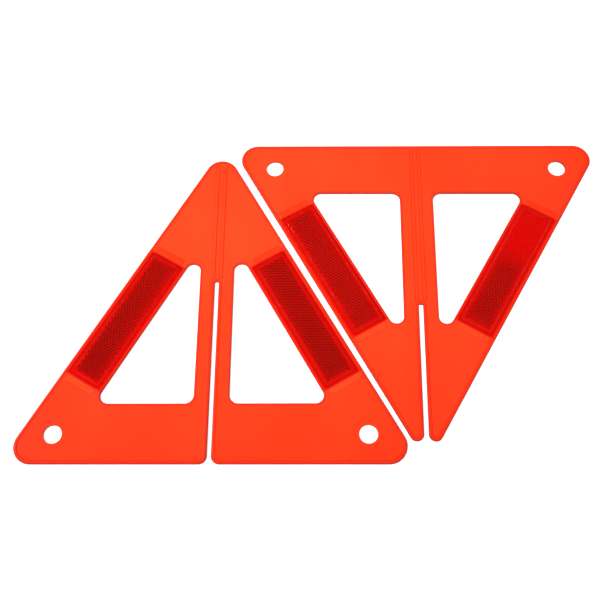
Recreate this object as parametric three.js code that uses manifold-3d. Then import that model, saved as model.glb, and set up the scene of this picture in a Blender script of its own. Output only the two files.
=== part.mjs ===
// Flat-pack warning triangle.
//
// Two flat moulded triangles, each with a slot to half its height, cross at a
// right angle and stand up by themselves. Here they lie side by side, ready to
// be put together: one with its point away, the other turned round beside it.
// Each sloping leg carries a red prismatic reflector on both of its faces.
//
// Units are millimetres. +Z is up, away from the surface the panels lie on.
// A panel's own frame has its origin at the middle of its base edge, X along
// the base, Y towards the point and Z through the thickness, with z = 0 in the
// middle of the plate.

import * as THREE from 'three';
import { mergeVertices } from 'three/addons/utils/BufferGeometryUtils.js';
import Module from 'manifold-3d';

const wasm = await Module();
wasm.setup();

// ---------------------------------------------------------------- dimensions

const SIDE = 432;                  // side of the triangle, to its sharp corners
const HEIGHT = SIDE * Math.sqrt(3) / 2;
const CORNER_R = 18.9;             // rounding of the three outer corners
const PLATE_T = 3.0;               // thickness of the moulded plate

const LEG_W = 48.5;                // width of each sloping leg
const BASE_H = 63.3;               // height of the base bar
const POST_HALF = 18.8;            // half the width of the centre post
const WINDOW_TOP_R = 8.1;          // window corner at the top
const WINDOW_OUTER_R = 8.4;        // window corner at the foot of the leg
const WINDOW_INNER_R = 9.3;        // window corner at the foot of the post

const HOLE_X = 162.9;              // peg holes, from the centre line
const HOLE_Y = 30.7;               // peg holes, above the base edge
const HOLE_R = 9.7;

const BOTTOM_SLOT_W = 4.3;         // slot open at the base edge
const BOTTOM_SLOT_END = 201.0;     // its closed end, above the base edge
const BOTTOM_SLOT_END_R = 1.4;
const MOUTH_R = 8.4;               // lead-in at the mouth of that slot
const TOP_SLOT_W = 4.85;           // slot open at the point
const TOP_SLOT_END = 200.4;        // its closed end, above the base edge
const TOP_SLOT_END_R = 1.4;
const TIP_R = 7.3;                 // rounding of the two tips beside that slot

const BEAD_W = 3.0;                // raised rim round the outline and the slot
const WINDOW_BEAD_W = 2.6;         // raised rim round each window
const BEAD_H = 0.4;

const RIB_GAP = 4.4;               // between the two guide ribs
const RIB_W = 4.0;
const RIB_H = 0.9;
const RIB_END_MARGIN = 3.4;        // from a rib's end to the edge of the plate

const LENS_ALONG = 196.6;          // lens centre, along the leg from its foot
const LENS_IN = 24.95;             // lens centre, in from the leg's outer edge
const LENS_L = 161.5;              // outer flange
const LENS_W = 40.2;
const LENS_CORNER_R = 1.6;
const PLATEAU_INSET = 3.0;         // flange left showing round the raised face
const PLATEAU_BEVEL = 1.0;
const LENS_TOP = 3.55;             // raised face, from the middle of the plate
const FLANGE_TOP = 2.3;
const FLANGE_BOTTOM = 1.2;
const PRISM_L = 151.7;             // prism block behind the raised face
const PRISM_W = 30.7;
const PRISM_BACK = 0.2;            // its back, from the middle of the plate
const FIT_GAP = 0.4;               // lens to panel, all round
const POCKET_DEPTH = 0.6;          // recess for the flange in each face

const BAR_L = 36.7;                // raised bar beyond each end of a lens
const BAR_W = 8.2;
const BAR_R = 3.3;
const BAR_H = 0.5;
const BAR_FROM_LENS = 0.9;         // end of the lens to the near side of a bar
const BAR_IN = 23.8;               // bar centre, in from the leg's outer edge

const SECOND_X = 225.17;           // where the turned panel lies, from the first
const SECOND_Y = 373.26;
const SECOND_TURN = Math.PI - 0.0095;

const ORANGE = 0xf4471f;
const RED = 0xa8140c;

// ------------------------------------------------------------------- helpers

const V = (x, y) => new THREE.Vector2(x, y);

// Polygon corners moved inward by d. A corner that points out loses d from its
// radius, and one that points in gains it. Corners run anticlockwise.
function inset(corners, d) {
  const n = corners.length;
  const lines = corners.map((c, i) => {
    const next = corners[(i + 1) % n];
    const t = next.p.clone().sub(c.p).normalize();
    const normal = V(-t.y, t.x);
    return { p: c.p.clone().addScaledVector(normal, d), t };
  });
  return corners.map((c, i) => {
    const a = lines[(i + n - 1) % n];
    const b = lines[i];
    const cross = a.t.x * b.t.y - a.t.y * b.t.x;
    const w = b.p.clone().sub(a.p);
    const s = (w.x * b.t.y - w.y * b.t.x) / cross;
    return { p: a.p.clone().addScaledVector(a.t, s), r: Math.max(c.r + (cross > 0 ? -d : d), 0.15) };
  });
}

// Points round a polygon with its corners replaced by arcs.
function rounded(corners, stepDeg = 15) {
  const out = [];
  const n = corners.length;
  corners.forEach((c, i) => {
    const a = corners[(i + n - 1) % n].p.clone().sub(c.p).normalize();
    const b = corners[(i + 1) % n].p.clone().sub(c.p).normalize();
    const half = Math.acos(THREE.MathUtils.clamp(a.dot(b), -1, 1)) / 2;
    const centre = c.p.clone().addScaledVector(a.clone().add(b).normalize(), c.r / Math.sin(half));
    const from = c.p.clone().addScaledVector(a, c.r / Math.tan(half)).sub(centre);
    const to = c.p.clone().addScaledVector(b, c.r / Math.tan(half)).sub(centre);
    let sweep = Math.atan2(from.x * to.y - from.y * to.x, from.dot(to));
    const steps = Math.max(2, Math.ceil(Math.abs(sweep) * 180 / Math.PI / stepDeg));
    for (let k = 0; k <= steps; k++) {
      const q = from.clone().rotateAround(V(0, 0), sweep * k / steps);
      out.push(q.add(centre));
    }
  });
  return out;
}

// A flat shape raised between two heights, as a solid.
function slab(points, z0, z1, holes = []) {
  const shape = new THREE.Shape(points);
  for (const h of holes) shape.holes.push(new THREE.Path(h));
  const g = new THREE.ExtrudeGeometry(shape, { depth: z1 - z0, bevelEnabled: false, curveSegments: 1 });
  g.translate(0, 0, z0);
  return solid(g);
}

function solid(geometry) {
  let g = geometry.clone();
  g.deleteAttribute('normal');
  g.deleteAttribute('uv');
  g = mergeVertices(g, 1e-4);
  return new wasm.Manifold(new wasm.Mesh({
    numProp: 3,
    vertProperties: new Float32Array(g.attributes.position.array),
    triVerts: new Uint32Array(g.index.array),
  }));
}

function toGeometry(manifold) {
  const m = manifold.getMesh();
  const g = new THREE.BufferGeometry();
  g.setAttribute('position', new THREE.BufferAttribute(new Float32Array(m.vertProperties), 3));
  g.setIndex(new THREE.BufferAttribute(new Uint32Array(m.triVerts), 1));
  g.computeVertexNormals();
  return g;
}

// A rectangle with rounded corners, centred, then turned and moved.
function rectangle(length, width, r, turn = 0, cx = 0, cy = 0) {
  const x = length / 2;
  const y = width / 2;
  const pts = rounded([
    { p: V(-x, -y), r }, { p: V(x, -y), r }, { p: V(x, y), r }, { p: V(-x, y), r },
  ], 22.5);
  return pts.map((q) => q.rotateAround(V(0, 0), turn).add(V(cx, cy)));
}

function circle(cx, cy, r, segments = 40) {
  const pts = [];
  for (let k = 0; k < segments; k++) {
    const a = 2 * Math.PI * k / segments;
    pts.push(V(cx + r * Math.cos(a), cy + r * Math.sin(a)));
  }
  return pts;
}

// -------------------------------------------------------------------- panels

// Where something on a leg sits: side is -1 for the left leg, 1 for the right.
function onLeg(side, along, inward) {
  const c = 0.5;
  const s = Math.sqrt(3) / 2;
  return {
    x: side * (SIDE / 2 - along * c - inward * s),
    y: along * s - inward * c,
    turn: side < 0 ? Math.PI / 3 : 2 * Math.PI / 3,
  };
}

// Outline with its slot, anticlockwise.
function outline(slotAt) {
  const left = { p: V(-SIDE / 2, 0), r: CORNER_R };
  const right = { p: V(SIDE / 2, 0), r: CORNER_R };
  if (slotAt === 'base') {
    const h = BOTTOM_SLOT_W / 2;
    return [
      left,
      { p: V(-h, 0), r: MOUTH_R },
      { p: V(-h, BOTTOM_SLOT_END), r: BOTTOM_SLOT_END_R },
      { p: V(h, BOTTOM_SLOT_END), r: BOTTOM_SLOT_END_R },
      { p: V(h, 0), r: MOUTH_R },
      right,
      { p: V(0, HEIGHT), r: CORNER_R },
    ];
  }
  const h = TOP_SLOT_W / 2;
  const tip = HEIGHT - h * Math.sqrt(3);
  return [
    left,
    right,
    { p: V(h, tip), r: TIP_R },
    { p: V(h, TOP_SLOT_END), r: TOP_SLOT_END_R },
    { p: V(-h, TOP_SLOT_END), r: TOP_SLOT_END_R },
    { p: V(-h, tip), r: TIP_R },
  ];
}

// The right-hand window's corners, anticlockwise; side -1 mirrors it.
function windowCorners(side) {
  const legLine = SIDE / 2 * Math.sqrt(3) / 2 - LEG_W;   // from the origin, square to the leg
  const topY = 2 * (legLine - POST_HALF * Math.sqrt(3) / 2);
  const outerX = (legLine - BASE_H / 2) / (Math.sqrt(3) / 2);
  const c = [
    { p: V(POST_HALF, BASE_H), r: WINDOW_INNER_R },
    { p: V(outerX, BASE_H), r: WINDOW_OUTER_R },
    { p: V(POST_HALF, topY), r: WINDOW_TOP_R },
  ];
  return side > 0 ? c : c.map((k) => ({ p: V(-k.p.x, k.p.y), r: k.r })).reverse();
}

function panelSolid(slotAt) {
  const half = PLATE_T / 2;
  const edge = outline(slotAt);
  const windows = [-1, 1].map((s) => rounded(windowCorners(s)));
  const holes = [-1, 1].map((s) => circle(s * HOLE_X, HOLE_Y, HOLE_R));
  let body = slab(rounded(edge), -half, half, [...windows, ...holes]);

  // The raised rims go through the plate, so both faces get them at once.
  const full = half + BEAD_H;
  body = body.add(slab(rounded(edge), -full, full, [rounded(inset(edge, BEAD_W))]));
  for (const s of [-1, 1]) {
    const w = windowCorners(s);
    body = body.add(slab(rounded(inset(w, -WINDOW_BEAD_W)), -full, full, [rounded(w)]));
  }

  // Guide ribs for the other panel, in line with the slot.
  const [y0, y1] = slotAt === 'base'
    ? [BOTTOM_SLOT_END + 0.6, HEIGHT - CORNER_R - RIB_END_MARGIN - 1.6]
    : [RIB_END_MARGIN, TOP_SLOT_END - 0.6];
  for (const s of [-1, 1]) {
    const x = s * (RIB_GAP + RIB_W) / 2;
    body = body.add(slab(
      rectangle(RIB_W, y1 - y0, 0.8, 0, x, (y0 + y1) / 2), -half - RIB_H, half + RIB_H));
  }

  for (const s of [-1, 1]) {
    // Raised bars beyond both ends of the reflector.
    const off = LENS_L / 2 + BAR_FROM_LENS + BAR_W / 2;
    for (const e of [-1, 1]) {
      const b = onLeg(s, LENS_ALONG + e * off, BAR_IN);
      body = body.add(slab(
        rectangle(BAR_W, BAR_L, BAR_R, b.turn, b.x, b.y), -half - BAR_H, half + BAR_H));
    }
    // The opening for the prism blocks and the recess for each flange.
    const l = onLeg(s, LENS_ALONG, LENS_IN);
    const gap = 2 * FIT_GAP;
    body = body.subtract(slab(
      rectangle(PRISM_L + gap, PRISM_W + gap, 1.2, l.turn, l.x, l.y), -half - 2, half + 2));
    for (const f of [-1, 1]) {
      const z = [f * (half - POCKET_DEPTH), f * (half + 2)].sort((a, b) => a - b);
      body = body.subtract(slab(
        rectangle(LENS_L + gap, LENS_W + gap, LENS_CORNER_R + FIT_GAP, l.turn, l.x, l.y), z[0], z[1]));
    }
  }
  return body;
}

// --------------------------------------------------------------------- lens

// One reflector lens: a flange, a raised face with a bevelled edge, and the
// block of prisms behind it. Its front faces +Z.
function lensSolid() {
  const flange = slab(rectangle(LENS_L, LENS_W, LENS_CORNER_R), FLANGE_BOTTOM, FLANGE_TOP);
  const l = LENS_L - 2 * PLATEAU_INSET;
  const w = LENS_W - 2 * PLATEAU_INSET;
  const foot = FLANGE_BOTTOM + 0.1;
  const raised = new THREE.ExtrudeGeometry(new THREE.Shape(rectangle(l, w, 1.8)), {
    depth: LENS_TOP - foot - 2 * PLATEAU_BEVEL,
    bevelEnabled: true,
    bevelThickness: PLATEAU_BEVEL,
    bevelSize: PLATEAU_BEVEL,
    bevelOffset: -PLATEAU_BEVEL,
    bevelSegments: 2,
    curveSegments: 1,
  });
  raised.translate(0, 0, foot + PLATEAU_BEVEL);
  const prisms = slab(rectangle(PRISM_L, PRISM_W, 0.8), PRISM_BACK, FLANGE_TOP);
  return flange.add(solid(raised)).add(prisms);
}

// ------------------------------------------------------------------ assembly

const orange = () => new THREE.MeshStandardMaterial({ color: ORANGE, roughness: 0.42, metalness: 0 });
const red = () => new THREE.MeshStandardMaterial({
  color: RED, roughness: 0.12, metalness: 0, transparent: true, opacity: 0.85,
});

const lensGeometry = toGeometry(lensSolid());

function makePanel(name, slotAt) {
  const group = new THREE.Group();
  const plate = new THREE.Mesh(toGeometry(panelSolid(slotAt)), orange());
  plate.name = name;
  group.add(plate);
  for (const side of [-1, 1]) {
    const at = onLeg(side, LENS_ALONG, LENS_IN);
    for (const face of [1, -1]) {
      const lens = new THREE.Mesh(lensGeometry.clone(), red());
      lens.name = `${name}_${side < 0 ? 'left' : 'right'}_${face > 0 ? 'front' : 'rear'}_lens`;
      const seat = new THREE.Group();
      seat.position.set(at.x, at.y, 0);
      seat.rotation.z = at.turn;
      if (face < 0) lens.rotation.x = Math.PI;
      seat.add(lens);
      group.add(seat);
    }
  }
  return group;
}

const sign = new THREE.Group();
const first = makePanel('bottom_slot_panel', 'base');
const second = makePanel('top_slot_panel', 'point');
second.position.set(SECOND_X, SECOND_Y, 0);
second.rotation.z = SECOND_TURN;
const layout = new THREE.Group();
layout.add(first, second);

// The origin goes to the middle of the layout, on the surface it lies on.
const box = new THREE.Box3().setFromObject(layout, true);
layout.position.set(-(box.min.x + box.max.x) / 2, -(box.min.y + box.max.y) / 2, LENS_TOP);
sign.add(layout);

export default sign;
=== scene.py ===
"""Flat-pack warning triangle: the looks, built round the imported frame.

Two orange moulded panels lie side by side. Each has rounded rims, guide ribs,
raised bars and, on both faces of each leg, a red prismatic reflector whose
honeycomb is real cube-corner geometry behind a smooth clear face.
"""

import math

import bmesh
import bpy
from mathutils import Matrix, Vector
from mathutils.geometry import delaunay_2d_cdt


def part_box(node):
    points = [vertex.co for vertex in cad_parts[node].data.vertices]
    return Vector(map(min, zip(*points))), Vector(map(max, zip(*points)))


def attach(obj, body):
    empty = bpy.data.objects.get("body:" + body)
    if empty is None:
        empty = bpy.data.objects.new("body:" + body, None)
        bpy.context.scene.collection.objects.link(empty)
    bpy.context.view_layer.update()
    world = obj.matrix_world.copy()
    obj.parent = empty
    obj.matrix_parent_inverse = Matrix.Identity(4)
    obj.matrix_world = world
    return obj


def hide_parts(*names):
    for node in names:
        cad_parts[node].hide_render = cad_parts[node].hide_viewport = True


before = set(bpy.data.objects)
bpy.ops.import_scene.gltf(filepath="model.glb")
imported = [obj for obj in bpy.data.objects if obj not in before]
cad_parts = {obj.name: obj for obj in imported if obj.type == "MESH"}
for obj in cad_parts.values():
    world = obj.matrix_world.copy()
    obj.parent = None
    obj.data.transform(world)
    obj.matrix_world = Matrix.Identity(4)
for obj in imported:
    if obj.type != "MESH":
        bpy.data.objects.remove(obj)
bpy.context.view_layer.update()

MM = 0.001
ROOT3 = math.sqrt(3)

# ---------------------------------------------------------------- dimensions
# The same sizes as the CAD part, in millimetres, in a panel's own frame: origin
# at the middle of its base edge, Y towards its point, z = 0 in mid-plate.

SIDE = 432.0
HEIGHT = SIDE * ROOT3 / 2
CORNER_R = 18.9
HALF_T = 1.5
LEG_W = 48.5
BASE_H = 63.3
POST_HALF = 18.8
WINDOW_R = (9.3, 8.4, 8.1)         # foot of the post, foot of the leg, top
HOLE_X, HOLE_Y, HOLE_R = 162.9, 30.7, 9.7
BOTTOM_SLOT_W, BOTTOM_SLOT_END, MOUTH_R = 4.3, 201.0, 8.4
TOP_SLOT_W, TOP_SLOT_END, TIP_R = 4.85, 200.4, 7.3
SLOT_END_R = 1.4
BEAD_H = 0.4
RIB_GAP, RIB_W, RIB_H = 4.4, 4.0, 0.9
LENS_ALONG, LENS_IN = 196.6, 24.95
LENS_L, LENS_W, LENS_R = 161.5, 40.2, 1.6
LENS_TOP, FLANGE_TOP, FLANGE_BOTTOM = 3.55, 2.3, 1.2
PRISM_L, PRISM_W, PRISM_BACK = 151.7, 30.7, 0.2
FIT_GAP = 0.4
POCKET_DEPTH = 0.6
BAR_L, BAR_W, BAR_R, BAR_H = 36.7, 8.2, 3.3, 0.5
BAR_FROM_LENS, BAR_IN = 0.9, 23.8
CELL = 3.56                        # honeycomb cell across flats
SECOND_TURN = math.pi - 0.0095


# ------------------------------------------------------------ plane geometry

def inset(corners, d):
    """Corners [(x, y, r)], anticlockwise, moved inward by d with their radii kept true."""
    n = len(corners)
    lines = []
    for i, (x, y, r) in enumerate(corners):
        x2, y2, _ = corners[(i + 1) % n]
        t = Vector((x2 - x, y2 - y)).normalized()
        lines.append((Vector((x, y)) + Vector((-t.y, t.x)) * d, t))
    out = []
    for i, (x, y, r) in enumerate(corners):
        (pa, ta), (pb, tb) = lines[i - 1], lines[i]
        cross = ta.x * tb.y - ta.y * tb.x
        w = pb - pa
        p = pa + ta * ((w.x * tb.y - w.y * tb.x) / cross)
        out.append((p.x, p.y, max(r - d if cross > 0 else r + d, 0.05)))
    return out


def arcs(corners, counts):
    """Points round the corners. counts gives each corner's number of segments, so that insets match point for point."""
    n = len(corners)
    pts = []
    for i, (x, y, r) in enumerate(corners):
        c = Vector((x, y))
        a = (Vector(corners[i - 1][:2]) - c).normalized()
        b = (Vector(corners[(i + 1) % n][:2]) - c).normalized()
        half = math.acos(max(-1, min(1, a.dot(b)))) / 2
        centre = c + (a + b).normalized() * (r / math.sin(half))
        f = c + a * (r / math.tan(half)) - centre
        t = c + b * (r / math.tan(half)) - centre
        sweep = math.atan2(f.x * t.y - f.y * t.x, f.dot(t))
        for k in range(counts[i] + 1):
            q = sweep * k / counts[i]
            pts.append((centre.x + f.x * math.cos(q) - f.y * math.sin(q),
                        centre.y + f.x * math.sin(q) + f.y * math.cos(q)))
    return pts


def counts_for(corners):
    out = []
    n = len(corners)
    for i, (x, y, r) in enumerate(corners):
        c = Vector((x, y))
        a = (Vector(corners[i - 1][:2]) - c).normalized()
        b = (Vector(corners[(i + 1) % n][:2]) - c).normalized()
        sweep = math.pi - math.acos(max(-1, min(1, a.dot(b))))
        out.append(max(6, round(math.degrees(sweep) / (5 if r > 12 else 7.5))))
    return out


class Outline:
    """A rounded polygon that can give its ring at any inset."""

    def __init__(self, corners):
        self.corners = corners
        self.counts = counts_for(corners)

    def ring(self, d):
        return arcs(inset(self.corners, d), self.counts)


class Rectangle:
    """A rounded rectangle turned and moved into place."""

    def __init__(self, length, width, r, turn=0.0, cx=0.0, cy=0.0, n=8):
        self.args = (length, width, r, turn, cx, cy, n)

    def ring(self, d):
        l, w, r, turn, cx, cy, n = self.args
        x, y, r = l / 2 - d, w / 2 - d, max(r - d, 0.05)
        pts = arcs([(-x, -y, r), (x, -y, r), (x, y, r), (-x, y, r)], [n] * 4)
        c, s = math.cos(turn), math.sin(turn)
        return [(cx + px * c - py * s, cy + px * s + py * c) for px, py in pts]


class Circle:
    def __init__(self, cx, cy, r, n=72):
        self.args = (cx, cy, r, n)

    def ring(self, d):
        cx, cy, r, n = self.args
        return [(cx + (r - d) * math.cos(2 * math.pi * k / n), cy + (r - d) * math.sin(2 * math.pi * k / n)) for k in range(n)]


# ------------------------------------------------------------- mesh building

class Builder:
    """Collects rings, strips between them and flat fills, and makes one closed mesh."""

    def __init__(self):
        self.verts = []
        self.faces = []
        self.mats = []

    def ring(self, pts, z):
        start = len(self.verts)
        self.verts += [(x, y, z) for x, y in pts]
        return list(range(start, start + len(pts)))

    def face(self, idx, mat=0):
        self.faces.append(idx)
        self.mats.append(mat)

    def strip(self, a, b, mat=0):
        n = len(a)
        for i in range(n):
            j = (i + 1) % n
            self.face([a[i], a[j], b[j], b[i]], mat)

    def loft(self, shape, profile, mat=0, sign=1.0):
        """Rings at each (inset, z) of the profile, joined in order. Returns the first and the last."""
        rings = [self.ring(shape.ring(d), z) for d, z in profile]
        for a, b in zip(rings, rings[1:]):
            self.strip(a, b, mat)
        return rings[0], rings[-1]

    def fill(self, loops, mat=0, grid=None):
        """Fills a flat region bounded by loops of existing vertices. The first loop is the outside."""
        pts, ids, edges = [], [], []
        for loop in loops:
            s = len(pts)
            pts += [Vector(self.verts[i][:2]) for i in loop]
            ids += loop
            edges += [(s + k, s + (k + 1) % len(loop)) for k in range(len(loop))]
        z = self.verts[loops[0][0]][2]
        if grid:
            for q in grid_points([[self.verts[i][:2] for i in l] for l in loops], grid):
                pts.append(Vector(q))
                ids.append(len(self.verts))
                self.verts.append((q[0], q[1], z))
        out = delaunay_2d_cdt(pts, edges, [], 0, 1e-7)
        rings = [[self.verts[i][:2] for i in loop] for loop in loops]
        for tri in out[2]:
            mid = [sum(out[0][v][k] for v in tri) / 3 for k in (0, 1)]
            if inside(mid, rings[0]) and not any(inside(mid, r) for r in rings[1:]):
                self.face([ids[out[3][v][0]] for v in tri], mat)

    def mesh(self, name):
        bm = bmesh.new()
        vs = [bm.verts.new((x * MM, y * MM, z * MM)) for x, y, z in self.verts]
        for idx, m in zip(self.faces, self.mats):
            if len(set(idx)) < 3:
                continue
            try:
                f = bm.faces.new([vs[i] for i in idx])
            except ValueError:
                continue
            f.material_index = m
            f.smooth = True
        bmesh.ops.remove_doubles(bm, verts=bm.verts, dist=2e-7)
        loose = [v for v in bm.verts if not v.link_faces]
        bmesh.ops.delete(bm, geom=loose, context="VERTS")
        bmesh.ops.recalc_face_normals(bm, faces=bm.faces)
        open_edges = sum(1 for e in bm.edges if len(e.link_faces) != 2)
        if bm.calc_volume(signed=True) < 0:
            bmesh.ops.reverse_faces(bm, faces=bm.faces)
        me = bpy.data.meshes.new(name)
        bm.to_mesh(me)
        print(f"{name}: {len(bm.verts)} verts, {len(bm.faces)} faces, {open_edges} open edges, {bm.calc_volume() * 1e6:.2f} cm3")
        bm.free()
        return me


def inside(p, loop):
    x, y = p
    hit = False
    n = len(loop)
    for i in range(n):
        x1, y1 = loop[i]
        x2, y2 = loop[(i + 1) % n]
        if (y1 > y) != (y2 > y) and x < (x2 - x1) * (y - y1) / (y2 - y1) + x1:
            hit = not hit
    return hit


def near(p, loop, d):
    x, y = p
    n = len(loop)
    for i in range(n):
        x1, y1 = loop[i]
        x2, y2 = loop[(i + 1) % n]
        dx, dy = x2 - x1, y2 - y1
        q = dx * dx + dy * dy
        t = 0 if q < 1e-12 else max(0, min(1, ((x - x1) * dx + (y - y1) * dy) / q))
        if (x - x1 - t * dx) ** 2 + (y - y1 - t * dy) ** 2 < d * d:
            return True
    return False


def grid_points(loops, step):
    xs = [p[0] for p in loops[0]]
    ys = [p[1] for p in loops[0]]
    out = []
    j = 0
    y = min(ys)
    while y < max(ys):
        x = min(xs) + (step / 2 if j % 2 else 0)
        while x < max(xs):
            p = (x, y)
            if inside(p, loops[0]) and not any(inside(p, l) for l in loops[1:]) and not any(near(p, l, step * 0.45) for l in loops):
                out.append(p)
            x += step
        y += step * ROOT3 / 2
        j += 1
    return out


def on_leg(side, along, inward):
    return (side * (SIDE / 2 - along / 2 - inward * ROOT3 / 2), along * ROOT3 / 2 - inward / 2,
            math.pi / 3 if side < 0 else 2 * math.pi / 3)


# -------------------------------------------------------------------- panels

def outline(slot_at):
    if slot_at == "base":
        h = BOTTOM_SLOT_W / 2
        return Outline([(-SIDE / 2, 0, CORNER_R), (-h, 0, MOUTH_R), (-h, BOTTOM_SLOT_END, SLOT_END_R),
                        (h, BOTTOM_SLOT_END, SLOT_END_R), (h, 0, MOUTH_R), (SIDE / 2, 0, CORNER_R), (0, HEIGHT, CORNER_R)])
    h = TOP_SLOT_W / 2
    tip = HEIGHT - h * ROOT3
    return Outline([(-SIDE / 2, 0, CORNER_R), (SIDE / 2, 0, CORNER_R), (h, tip, TIP_R), (h, TOP_SLOT_END, SLOT_END_R),
                    (-h, TOP_SLOT_END, SLOT_END_R), (-h, tip, TIP_R)])


def window(side):
    leg_line = SIDE / 2 * ROOT3 / 2 - LEG_W
    top = 2 * (leg_line - POST_HALF * ROOT3 / 2)
    out = (leg_line - BASE_H / 2) / (ROOT3 / 2)
    c = [(POST_HALF, BASE_H, WINDOW_R[0]), (out, BASE_H, WINDOW_R[1]), (POST_HALF, top, WINDOW_R[2])]
    return Outline(c if side > 0 else [(-x, y, r) for x, y, r in reversed(c)])


def both_faces(profile):
    """A profile from the top field down to mid-plate, carried on to the bottom field."""
    return profile + [(d, -z) for d, z in reversed(profile)]


TOP = HALF_T + BEAD_H
EDGE = both_faces([(4.15, HALF_T), (4.05, HALF_T), (3.9, HALF_T + 0.03), (3.65, HALF_T + 0.14), (3.35, TOP - 0.11), (3.1, TOP - 0.02),
                   (2.85, TOP), (1.95, TOP - 0.01), (1.5, TOP - 0.08), (1.05, TOP - 0.22), (0.6, TOP - 0.42), (0.22, TOP - 0.68), (0.0, TOP - 1.0), (0.0, 0.4)])
WINDOW_EDGE = both_faces([(-2.62, HALF_T), (-2.5, HALF_T), (-2.35, HALF_T + 0.05), (-2.1, HALF_T + 0.2), (-1.9, TOP - 0.06),
                          (-1.7, TOP - 0.01), (-1.35, TOP - 0.08), (-0.95, TOP - 0.22), (-0.55, TOP - 0.42), (-0.2, TOP - 0.68), (0.0, TOP - 1.0), (0.0, 0.4)])
HOLE_EDGE = both_faces([(-0.85, HALF_T), (-0.55, HALF_T), (-0.33, HALF_T - 0.05), (-0.13, HALF_T - 0.17), (-0.02, HALF_T - 0.36), (0.0, HALF_T - 0.55), (0.0, 0.3)])


def boss(b, shape, height, soft, sign, mat=0):
    """A raised pad with softly rounded edges on one face. Returns its outer ring, for the fill."""
    z = HALF_T
    p = [(-0.14, z), (0.0, z), (soft * 0.12, z + height * 0.14), (soft * 0.3, z + height * 0.5), (soft * 0.55, z + height * 0.82),
         (soft * 0.85, z + height * 0.97), (soft * 1.2, z + height), (soft * 1.6, z + height)]
    first, last = b.loft(shape, [(d, sign * q) for d, q in p], mat)
    b.fill([last], mat)
    return first


def panel_mesh(name, slot_at):
    b = Builder()
    edge = outline(slot_at)
    loops = {1: [], -1: []}

    def through(shape, profile):
        first, last = b.loft(shape, profile)
        loops[1].append(first)
        loops[-1].append(last)

    through(edge, EDGE)
    for s in (-1, 1):
        through(window(s), WINDOW_EDGE)
        through(Circle(s * HOLE_X, HOLE_Y, HOLE_R), HOLE_EDGE)

    # The recess for each lens flange and the opening between the two faces.
    for s in (-1, 1):
        x, y, turn = on_leg(s, LENS_ALONG, LENS_IN)
        floor = HALF_T - POCKET_DEPTH
        rim = Rectangle(LENS_L + 2 * FIT_GAP, LENS_W + 2 * FIT_GAP, LENS_R + FIT_GAP, turn, x, y)
        hole = Rectangle(PRISM_L + 2 * FIT_GAP, PRISM_W + 2 * FIT_GAP, 1.2, turn, x, y)
        rings = {}
        for f in (1, -1):
            top, low = b.loft(rim, [(-0.2, f * HALF_T), (-0.1, f * HALF_T), (-0.03, f * (HALF_T - 0.04)), (0.0, f * (HALF_T - 0.12)),
                                    (0.0, f * (floor + 0.1)), (0.1, f * floor), (0.3, f * floor)])
            a, wall = b.loft(hole, [(-0.3, f * floor), (-0.12, f * floor), (-0.03, f * (floor - 0.04)), (0.0, f * (floor - 0.12))])
            b.strip(low, a)
            loops[f].append(top)
            rings[f] = wall
        b.strip(rings[1], rings[-1])

    # Ribs, bars and the low band along the foot, on both faces.
    if slot_at == "base":
        r0, r1 = BOTTOM_SLOT_END + 4.6, HEIGHT - CORNER_R - 6.6
        bands = [(-182.0, -12.6), (12.6, 182.0)]
    else:
        r0, r1 = 4.5, TOP_SLOT_END - 4.6
        bands = [(-182.0, -7.2), (7.2, 182.0)]
    for f in (1, -1):
        for s in (-1, 1):
            loops[f].append(boss(b, Rectangle(RIB_W, r1 - r0, 0.9, 0, s * (RIB_GAP + RIB_W) / 2, (r0 + r1) / 2), RIB_H, 0.75, f))
            for e in (-1, 1):
                x, y, turn = on_leg(s, LENS_ALONG + e * (LENS_L / 2 + BAR_FROM_LENS + BAR_W / 2), BAR_IN)
                # The bars at one end of each lens take the paler second material: a painted highlight.
                loops[f].append(boss(b, Rectangle(BAR_W, BAR_L, BAR_R, turn, x, y, 12), BAR_H, 1.0, f, 1 if (e < 0) == (slot_at == "base") else 0))
        for x0, x1 in bands:
            loops[f].append(boss(b, Rectangle(x1 - x0, 4.6, 1.0, 0, (x0 + x1) / 2, 7.0), 0.12, 0.5, f))
    for f in (1, -1):
        b.fill(loops[f], grid=9.0)
    return b.mesh(name)


# --------------------------------------------------------------------- lens

def hexagon(cx, cy, turn):
    r = CELL / ROOT3
    return [(cx + r * math.cos(turn + math.pi / 3 * k), cy + r * math.sin(turn + math.pi / 3 * k)) for k in range(6)]


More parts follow.
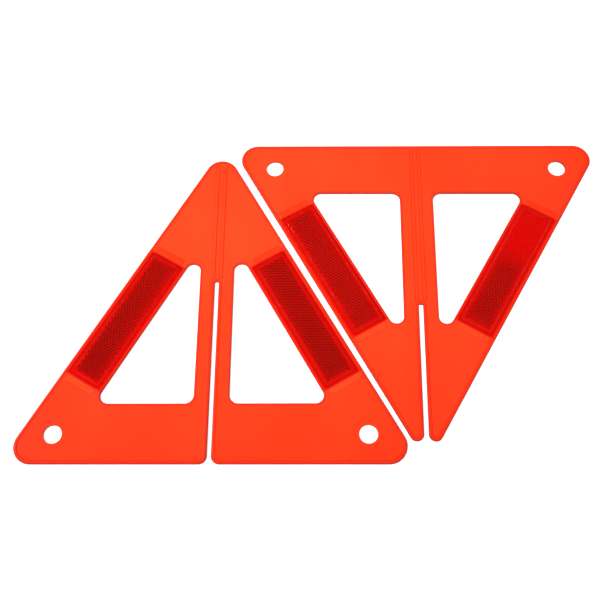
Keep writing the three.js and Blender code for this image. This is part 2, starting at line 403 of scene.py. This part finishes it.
def lens_mesh(name, turned, flip=0):
    """One lens, face up. Its back is a field of whole cube corners: each cell is three square faces that meet in a point away from the viewer."""
    b = Builder()
    flange = Rectangle(LENS_L, LENS_W, LENS_R)
    plateau = Rectangle(LENS_L - 6, LENS_W - 6, 1.8)
    block = Rectangle(PRISM_L, PRISM_W, 0.8)
    first, last = b.loft(flange, [(0.45, FLANGE_BOTTOM), (0.2, FLANGE_BOTTOM), (0.06, FLANGE_BOTTOM + 0.05), (0.0, FLANGE_BOTTOM + 0.2), (0.0, FLANGE_TOP - 0.28),
                                  (0.07, FLANGE_TOP - 0.09), (0.24, FLANGE_TOP), (0.5, FLANGE_TOP)])
    foot, top = b.loft(plateau, [(-0.35, FLANGE_TOP), (-0.16, FLANGE_TOP), (-0.04, FLANGE_TOP + 0.04), (0.0, FLANGE_TOP + 0.16), (0.08, FLANGE_TOP + 0.32), (0.78, LENS_TOP - 0.2),
                                 (0.98, LENS_TOP - 0.06), (1.25, LENS_TOP), (1.6, LENS_TOP)])
    b.strip(last, foot)
    b.fill([top], grid=7.0)

    # Back: the flat of the flange right up to the field.
    back = FLANGE_BOTTOM
    a, rim = b.loft(block, [(-0.25, back), (0.0, back)], 2)
    b.strip(first, a, 2)

    apex = 0.1
    rise = CELL / ROOT3 / math.sqrt(2)          # height from the point to a near corner
    cells = []
    if turned:                                  # rows run along the lens
        step = CELL * ROOT3 / 2
        rows, per = 9, 41
        for j in range(rows):
            for i in range(per + (0 if j % 2 else 1)):
                cells.append(((i - per / 2 + (0.5 if j % 2 else 0)) * CELL, (j - (rows - 1) / 2) * step))
        turn = math.pi / 6
    else:                                       # rows run across the lens
        step = CELL * ROOT3 / 2
        cols = 48
        for i in range(cols):
            n = 8 if i % 2 else 7
            for j in range(n):
                cells.append(((i - (cols - 1) / 2) * step, (j - (n - 1) / 2) * CELL))
        turn = 0.0
    key = {}

    def vert(x, y, z):
        k = (round(x, 4), round(y, 4), round(z, 4))
        if k not in key:
            key[k] = len(b.verts)
            b.verts.append((x, y, z))
        return key[k]

    edges = {}
    for cx, cy in cells:
        p = hexagon(cx, cy, turn)
        o = vert(cx, cy, apex)
        # near corners alternate with far ones round the cell
        v = [vert(x, y, apex + rise * (1 if k % 2 == flip else 2)) for k, (x, y) in enumerate(p)]
        for k in (flip, flip + 2, flip + 4):
            b.face([o, v[k % 6], v[(k + 1) % 6], v[(k + 2) % 6]], 1)
        for k in range(6):
            e = (v[k], v[(k + 1) % 6])
            if (e[1], e[0]) in edges:
                del edges[(e[1], e[0])]
            else:
                edges[e] = True
    # The ragged border of the field: a wall from each outer cell edge down to the flat back.
    nxt = {}
    for s, t in edges:
        nxt.setdefault(s, []).append(t)
    loops = []
    while nxt:
        s = next(iter(nxt))
        loop = [s]
        while True:
            t = nxt[loop[-1]].pop()
            if not nxt[loop[-1]]:
                del nxt[loop[-1]]
            if t == loop[0]:
                break
            loop.append(t)
        loops.append(loop)
    down = []
    for loop in loops:
        low = []
        for i in loop:
            x, y, z = b.verts[i]
            low.append(vert(x, y, back))
        for i in range(len(loop)):
            j = (i + 1) % len(loop)
            b.face([loop[i], loop[j], low[j], low[i]], 2)
        down.append(low)
    b.fill([rim] + down, 2)
    return b.mesh(name)


# ----------------------------------------------------------------- materials

class Nodes:
    def __init__(self, name):
        self.mat = bpy.data.materials.new(name)
        self.mat.use_nodes = True
        self.tree = self.mat.node_tree
        self.tree.nodes.clear()
        self.out = self.node("ShaderNodeOutputMaterial")
        self.bsdf = self.node("ShaderNodeBsdfPrincipled")
        self.link(self.bsdf.outputs[0], self.out.inputs["Surface"])
        self.coord = self.node("ShaderNodeTexCoord").outputs["Object"]

    def node(self, kind, **props):
        n = self.tree.nodes.new(kind)
        for k, v in props.items():
            setattr(n, k, v)
        return n

    def link(self, a, b):
        self.tree.links.new(a, b)

    def noise(self, scale, detail=3.0, rough=0.55, coord=None, distortion=0.0):
        n = self.node("ShaderNodeTexNoise")
        n.inputs["Scale"].default_value = scale
        n.inputs["Detail"].default_value = detail
        n.inputs["Roughness"].default_value = rough
        n.inputs["Distortion"].default_value = distortion
        self.link(coord or self.coord, n.inputs["Vector"])
        return n.outputs["Fac"]

    def stretch(self, sx, sy, sz):
        m = self.node("ShaderNodeMapping")
        m.inputs["Scale"].default_value = (sx, sy, sz)
        self.link(self.coord, m.inputs["Vector"])
        return m.outputs[0]

    def remap(self, value, a, b, c, d):
        m = self.node("ShaderNodeMapRange")
        for i, q in enumerate((a, b, c, d)):
            m.inputs[i + 1].default_value = q
        self.link(value, m.inputs[0])
        return m.outputs[0]

    def math(self, op, a, b):
        m = self.node("ShaderNodeMath", operation=op)
        for i, q in enumerate((a, b)):
            if isinstance(q, (int, float)):
                m.inputs[i].default_value = q
            else:
                self.link(q, m.inputs[i])
        return m.outputs[0]

    def mix(self, fac, a, b):
        m = self.node("ShaderNodeMix", data_type="RGBA")
        for i, q in ((0, fac), (6, a), (7, b)):
            if hasattr(q, "links"):
                self.link(q, m.inputs[i])
            else:
                m.inputs[i].default_value = q
        return m.outputs[2]

    def bump(self, height, strength, distance, normal=None):
        n = self.node("ShaderNodeBump")
        n.inputs["Strength"].default_value = strength
        n.inputs["Distance"].default_value = distance
        self.link(height, n.inputs["Height"])
        if normal:
            self.link(normal, n.inputs["Normal"])
        return n.outputs[0]


def painted_edge_shade(m):
    """How far the surface leans from the level of the sheet: painted shade, the colour is darkened on rims, flanks and
    cut edges.
    """
    parts = m.node("ShaderNodeSeparateXYZ")
    m.link(m.node("ShaderNodeNewGeometry").outputs["Normal"], parts.inputs[0])
    square = m.math("MULTIPLY", parts.outputs["Z"], parts.outputs["Z"])
    lean = m.math("SQRT", m.math("MAXIMUM", m.math("SUBTRACT", 1.0, square), 0.0), 0.0)
    return m.math("POWER", m.remap(lean, 0.04, 0.65, 0.0, 1.0), 1.35)


def painted_lens_shade_mask(m, legs):
    """1 hard by a lens and 0 a few millimetres off: painted shade with a red cast, the plastic beside the raised lens
    is made deeper and redder.
    """
    best = None

    def off(axis, centre, half):
        dot = m.node("ShaderNodeVectorMath", operation="DOT_PRODUCT")
        m.link(m.coord, dot.inputs[0])
        dot.inputs[1].default_value = axis
        return m.math("SUBTRACT", m.math("ABSOLUTE", m.math("SUBTRACT", dot.outputs["Value"], centre.dot(axis)), 0.0), half)

    for centre, way in legs:
        across = m.remap(off(Vector((-way.y, way.x, 0)), centre, LENS_W / 2 * MM), 0.0056, 0.0014, 0.0, 1.0)
        ends = m.remap(off(way, centre, LENS_L / 2 * MM), 0.0022, 0.0006, 0.0, 1.0)
        one = m.math("MULTIPLY", across, ends)
        best = one if best is None else m.math("MAXIMUM", best, one)
    return best


def raised(m, middle):
    """1 on the beads and bars that stand a little above the sheet, on either face."""
    parts = m.node("ShaderNodeSeparateXYZ")
    m.link(m.coord, parts.inputs[0])
    height = m.math("ABSOLUTE", m.math("SUBTRACT", parts.outputs["Z"], middle), 0.0)
    low = m.remap(height, (HALF_T + 0.1) * MM, (HALF_T + 0.34) * MM, 0.0, 1.0)
    return m.math("MULTIPLY", low, m.remap(height, 2.05 * MM, 2.25 * MM, 1.0, 0.0))


def orange_plastic(name, legs, painted_highlight_gain=1.0):
    m = Nodes(name)
    cloud = m.noise(9.0, 3.0, 0.5)
    flow = m.noise(6.0, 4.0, 0.6, m.stretch(3.0, 0.7, 3.0), 0.6)
    speck = m.noise(900.0, 2.0, 0.6)
    # A gain above 1 makes the green and blue of the plastic paler, for the painted highlight on some bars.
    base = m.mix(m.remap(cloud, 0.35, 0.65, 0.0, 1.0), (0.95, 0.033 * painted_highlight_gain, 0.0062 * painted_highlight_gain, 1), (1.0, 0.038 * painted_highlight_gain, 0.0082 * painted_highlight_gain, 1))
    base = m.mix(m.remap(flow, 0.52, 0.72, 0.0, 0.35), base, (0.99, 0.048, 0.010, 1))
    base = m.mix(m.remap(speck, 0.66, 0.78, 0.0, 0.25), base, (0.86, 0.028, 0.005, 1))
    if painted_highlight_gain == 1.0:
        base = m.mix(m.math("MULTIPLY", raised(m, legs[0][0].z), 0.7), base, (0.91, 0.019, 0.003, 1))
    # Painted shade beside each lens: the plastic is mixed towards a deep red there, and its specular tint turns redder.
    painted_lens_shade = m.math("MULTIPLY", painted_lens_shade_mask(m, legs), m.remap(m.noise(70.0, 3.0, 0.5), 0.3, 0.7, 0.82, 1.0))
    base = m.mix(painted_lens_shade, base, (0.86, 0.008, 0.0012, 1))
    # Painted shade: rims, flanks and cut edges that lean away from the sheet are mixed towards a dark red.
    m.link(m.mix(painted_edge_shade(m), base, (0.22, 0.007, 0.0012, 1)), m.bsdf.inputs["Base Color"])
    m.link(m.mix(painted_lens_shade, (1.0, 0.62, 0.5, 1), (1.0, 0.3, 0.22, 1)), m.bsdf.inputs["Specular Tint"])
    rough = m.remap(m.noise(45.0, 4.0, 0.6), 0.3, 0.7, 0.32, 0.42)
    scuff = m.remap(m.noise(60.0, 5.0, 0.7, m.stretch(1.0, 9.0, 1.0), 1.2), 0.66, 0.74, 0.0, 0.12)
    m.link(m.math("ADD", rough, scuff), m.bsdf.inputs["Roughness"])
    fine = m.noise(2600.0, 2.0, 0.5)
    soft = m.noise(38.0, 2.0, 0.5)
    n = m.bump(fine, 0.22, 0.00004)
    n = m.bump(soft, 0.25, 0.0004, n)
    m.link(n, m.bsdf.inputs["Normal"])
    m.bsdf.inputs["IOR"].default_value = 1.5
    m.bsdf.inputs["Specular IOR Level"].default_value = 0.3
    return m.mat


def red_lens():
    m = Nodes("red_lens_clear")
    tint = m.mix(m.remap(m.noise(30.0, 3.0, 0.5), 0.3, 0.7, 0.0, 1.0), (0.98, 0.018, 0.010, 1), (1.0, 0.03, 0.018, 1))
    m.link(tint, m.bsdf.inputs["Base Color"])
    m.link(m.remap(m.noise(120.0, 4.0, 0.65), 0.3, 0.7, 0.015, 0.05), m.bsdf.inputs["Roughness"])
    m.link(m.bump(m.noise(55.0, 2.0, 0.5), 0.12, 0.0002), m.bsdf.inputs["Normal"])
    m.bsdf.inputs["IOR"].default_value = 1.49
    m.bsdf.inputs["Specular Tint"].default_value = (1.0, 0.3, 0.25, 1)
    m.bsdf.inputs["Transmission Weight"].default_value = 1.0
    return m.mat


def red_prisms(name, painted_glow_zone=None):
    """Mirror-bright prism faces. The second argument gives the leg's foot and direction, for the lens whose lower part
    is painted flat bright red with a faint glow: painted light for what its prisms return at one angle.
    """
    m = Nodes(name)
    tint = m.mix(m.remap(m.noise(400.0, 3.0, 0.5), 0.3, 0.7, 0.0, 1.0), (0.96, 0.6, 0.55, 1), (1.0, 0.7, 0.65, 1))
    rough = m.remap(m.noise(300.0, 4.0, 0.65), 0.3, 0.7, 0.14, 0.2)
    if not painted_glow_zone:
        m.link(tint, m.bsdf.inputs["Base Color"])
        m.link(rough, m.bsdf.inputs["Roughness"])
        m.bsdf.inputs["Metallic"].default_value = 1.0
        return m.mat
    start, way = painted_glow_zone
    dot = m.node("ShaderNodeVectorMath", operation="DOT_PRODUCT")
    m.link(m.coord, dot.inputs[0])
    dot.inputs[1].default_value = way
    along = m.math("SUBTRACT", dot.outputs["Value"], start.dot(way))
    wander = m.remap(m.noise(60.0, 3.0, 0.5), 0.3, 0.7, -0.004, 0.004)
    clear = m.remap(m.math("ADD", along, wander), 0.172, 0.208, 0.0, 1.0)
    # Painted light: towards the leg's foot the prisms turn flat bright red, rougher and not metallic, with a faint red
    # emission.
    m.link(m.mix(clear, (0.95, 0.06, 0.025, 1), tint), m.bsdf.inputs["Base Color"])
    m.link(m.math("ADD", rough, m.math("MULTIPLY", m.math("SUBTRACT", 1.0, clear), 0.3)), m.bsdf.inputs["Roughness"])
    m.link(clear, m.bsdf.inputs["Metallic"])
    m.link(m.mix(clear, (0.175, 0.004, 0.001, 1), (0, 0, 0, 1)), m.bsdf.inputs["Emission Color"])
    m.bsdf.inputs["Emission Strength"].default_value = 1.0
    return m.mat


def red_border_painted_glow():
    """The flat back of the flange, which shows as a bright red frame round the prisms. Its red emission is a painted
    glow, standing in for light that reaches it through the clear face.
    """
    m = Nodes("red_lens_border_painted_glow")
    tint = m.mix(m.remap(m.noise(60.0, 3.0, 0.5), 0.3, 0.7, 0.0, 1.0), (0.94, 0.05, 0.02, 1), (1.0, 0.08, 0.03, 1))
    m.link(tint, m.bsdf.inputs["Base Color"])
    m.link(m.remap(m.noise(200.0, 4.0, 0.65), 0.3, 0.7, 0.3, 0.4), m.bsdf.inputs["Roughness"])
    # Painted glow: a faint red emission, though the frame is no lamp.
    m.bsdf.inputs["Emission Color"].default_value = (1, 0.02, 0.005, 1)
    m.bsdf.inputs["Emission Strength"].default_value = 0.28
    return m.mat


# ------------------------------------------------------------------ assembly

clear, prisms, border = red_lens(), red_prisms("red_lens_prisms"), red_border_painted_glow()

# Each panel's own frame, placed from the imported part's boxes.
lo_a, hi_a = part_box("bottom_slot_panel")
mid_z = (lo_a.z + hi_a.z) / 2
place = {
    "bottom_slot_panel": Matrix.Translation((lo_a.x + (hi_a.x - lo_a.x) / 2, lo_a.y, mid_z)),
}
ax = (lo_a.x + hi_a.x) / 2
place["top_slot_panel"] = Matrix.Translation((ax + 0.22517, lo_a.y + 0.37326, mid_z)) @ Matrix.Rotation(SECOND_TURN, 4, "Z")

for body, slot_at in (("bottom_slot_panel", "base"), ("top_slot_panel", "point")):
    me = panel_mesh(body + "_moulding", slot_at)
    me.transform(place[body])
    legs = []
    for side in (-1, 1):
        x, y, turn = on_leg(side, LENS_ALONG, LENS_IN)
        legs.append((place[body] @ Vector((x * MM, y * MM, 0)), place[body].to_3x3() @ Vector((math.cos(turn), math.sin(turn), 0))))
    me.materials.append(orange_plastic(body + "_orange", legs))
    # The paler copy for those bars: painted highlight.
    me.materials.append(orange_plastic(body + "_orange_bars_painted_highlight", legs, 1.3 if slot_at == "base" else 1.17))
    ob = bpy.data.objects.new(body + "_moulding", me)
    bpy.context.scene.collection.objects.link(ob)
    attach(ob, body)
    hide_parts(body)
    for side, word in ((-1, "left"), (1, "right")):
        x, y, turn = on_leg(side, LENS_ALONG, LENS_IN)
        for face, which in ((1, "front"), (-1, "rear")):
            node = f"{body}_{word}_{which}_lens"
            turned = body == "bottom_slot_panel" and word == "right"
            lm = lens_mesh(node + "_optic", turned)
            t = place[body] @ Matrix.Translation((x * MM, y * MM, 0)) @ Matrix.Rotation(turn, 4, "Z")
            if face < 0:
                t = t @ Matrix.Rotation(math.pi, 4, "X")
            lm.transform(t)
            lm.materials.append(clear)
            # One front lens gets the prisms with the painted flat red and glow in its lower part.
            if (body, word, which) == ("top_slot_panel", "left", "front"):
                a, b = (place[body] @ Vector((*[q * MM for q in on_leg(side, s, 0)[:2]], 0)) for s in (0, SIDE))
                lm.materials.append(red_prisms("red_lens_prisms_painted_glow", (a, (b - a).normalized())))
            else:
                lm.materials.append(prisms)
            lm.materials.append(border)
            lo = bpy.data.objects.new(node + "_optic", lm)
            bpy.context.scene.collection.objects.link(lo)
            for p in lm.polygons:
                if p.material_index == 1:
                    p.use_smooth = False
            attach(lo, body)
            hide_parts(node)


# --------------------------------------------------------- floor, light, view

def floor():
    bm = bmesh.new()
    bmesh.ops.create_grid(bm, x_segments=8, y_segments=8, size=6.0)
    me = bpy.data.meshes.new("floor")
    bm.to_mesh(me)
    bm.free()
    m = Nodes("pale_floor")
    c = m.mix(m.noise(3.0, 2.0, 0.5), (0.5, 0.5, 0.5, 1), (0.53, 0.53, 0.53, 1))
    m.link(c, m.bsdf.inputs["Base Color"])
    m.link(m.remap(m.noise(20.0, 3.0, 0.5), 0.3, 0.7, 0.6, 0.7), m.bsdf.inputs["Roughness"])
    m.bsdf.inputs["Emission Color"].default_value = (1, 1, 1, 1)
    m.bsdf.inputs["Emission Strength"].default_value = 0.72
    me.materials.append(m.mat)
    o = bpy.data.objects.new("floor", me)
    o.location = (0, 0, -0.0003)
    bpy.context.scene.collection.objects.link(o)


def area(name, where, at, size, power, colour=(1, 1, 1)):
    d = bpy.data.lights.new(name, "AREA")
    d.shape = "RECTANGLE"
    d.size, d.size_y = size
    d.energy = power
    d.color = colour
    o = bpy.data.objects.new(name, d)
    o.visible_transmission = False
    o.location = where
    o.rotation_mode = "QUATERNION"
    o.rotation_quaternion = (Vector(at) - Vector(where)).to_track_quat("-Z", "Y")
    bpy.context.scene.collection.objects.link(o)


floor()
area("key", (-1.35, 0.05, 1.05), (0.0, 0.0, 0.0), (0.5, 0.5), 9.0)


def pool(where, at, power, cone, radius):
    d = bpy.data.lights.new("pool", "SPOT")
    d.energy = power
    d.spot_size = math.radians(cone)
    d.spot_blend = 1.0
    d.shadow_soft_size = radius
    o = bpy.data.objects.new("pool", d)
    o.visible_glossy = o.visible_transmission = False
    o.location = where
    o.rotation_mode = "QUATERNION"
    o.rotation_quaternion = (Vector(at) - Vector(where)).to_track_quat("-Z", "Y")
    bpy.context.scene.collection.objects.link(o)


pool((-0.4, -0.45, 1.9), (-0.05, 0.19, 0.0), 225.0, 30, 0.2)


def studio():
    """A dim ceiling over bright soft sides, a little brighter on the left, and a soft glow on the camera's side."""
    world = bpy.data.worlds.new("studio")
    bpy.context.scene.world = world
    world.use_nodes = True
    tree = world.node_tree
    bg = tree.nodes["Background"]
    way = tree.nodes.new("ShaderNodeTexCoord").outputs["Generated"]

    def lobe(axis, a, b, c, d):
        dot = tree.nodes.new("ShaderNodeVectorMath")
        dot.operation = "DOT_PRODUCT"
        tree.links.new(way, dot.inputs[0])
        dot.inputs[1].default_value = axis
        m = tree.nodes.new("ShaderNodeMapRange")
        m.interpolation_type = "SMOOTHSTEP"
        for i, q in enumerate((a, b, c, d)):
            m.inputs[i + 1].default_value = q
        tree.links.new(dot.outputs["Value"], m.inputs[0])
        return m.outputs[0]

    def op(kind, p, q):
        m = tree.nodes.new("ShaderNodeMath")
        m.operation = kind
        for i, v in enumerate((p, q)):
            if isinstance(v, (int, float)):
                m.inputs[i].default_value = v
            else:
                tree.links.new(v, m.inputs[i])
        return m.outputs[0]

    sides = op("MULTIPLY", lobe((0, 0, 1), 0.93, 0.55, 0.0, 0.45), lobe((1, 0, 0), -1.0, 1.0, 1.25, 0.75))
    front = op("ADD", lobe((0, -1, 0), 0.1, 0.28, 0.0, 0.26), lobe((0, -1, 0), 0.28, 0.5, 0.0, 0.4))
    front = op("MULTIPLY", front, lobe((0, 0, 1), 0.1, 0.6, 0.3, 1.0))
    tree.links.new(op("ADD", op("ADD", sides, front), 0.17), bg.inputs["Strength"])
    bg.inputs["Color"].default_value = (1, 1, 1, 1)


studio()

cam_data = bpy.data.cameras.new("camera")
cam_data.sensor_width = 36.0
cam_data.lens = 49.038
cam_data.clip_start = 0.01
cam_data.shift_x = -0.00017
cam_data.shift_y = 0.0002
cam = bpy.data.objects.new("camera", cam_data)
rows = ((0.99960496, 0.0051108, -0.02763699), (0.00559363, 0.92747962, 0.37383186), (0.02754332, -0.37383877, 0.92708464))
cam.matrix_world = Matrix.Translation((0.004166, -0.342224, 0.831411)) @ Matrix(rows).transposed().to_4x4()
bpy.context.scene.collection.objects.link(cam)
bpy.context.scene.camera = cam
bpy.context.scene.cycles.glossy_bounces = 8
bpy.context.scene.view_settings.view_transform = "Standard"
bpy.context.scene.view_settings.look = "None"
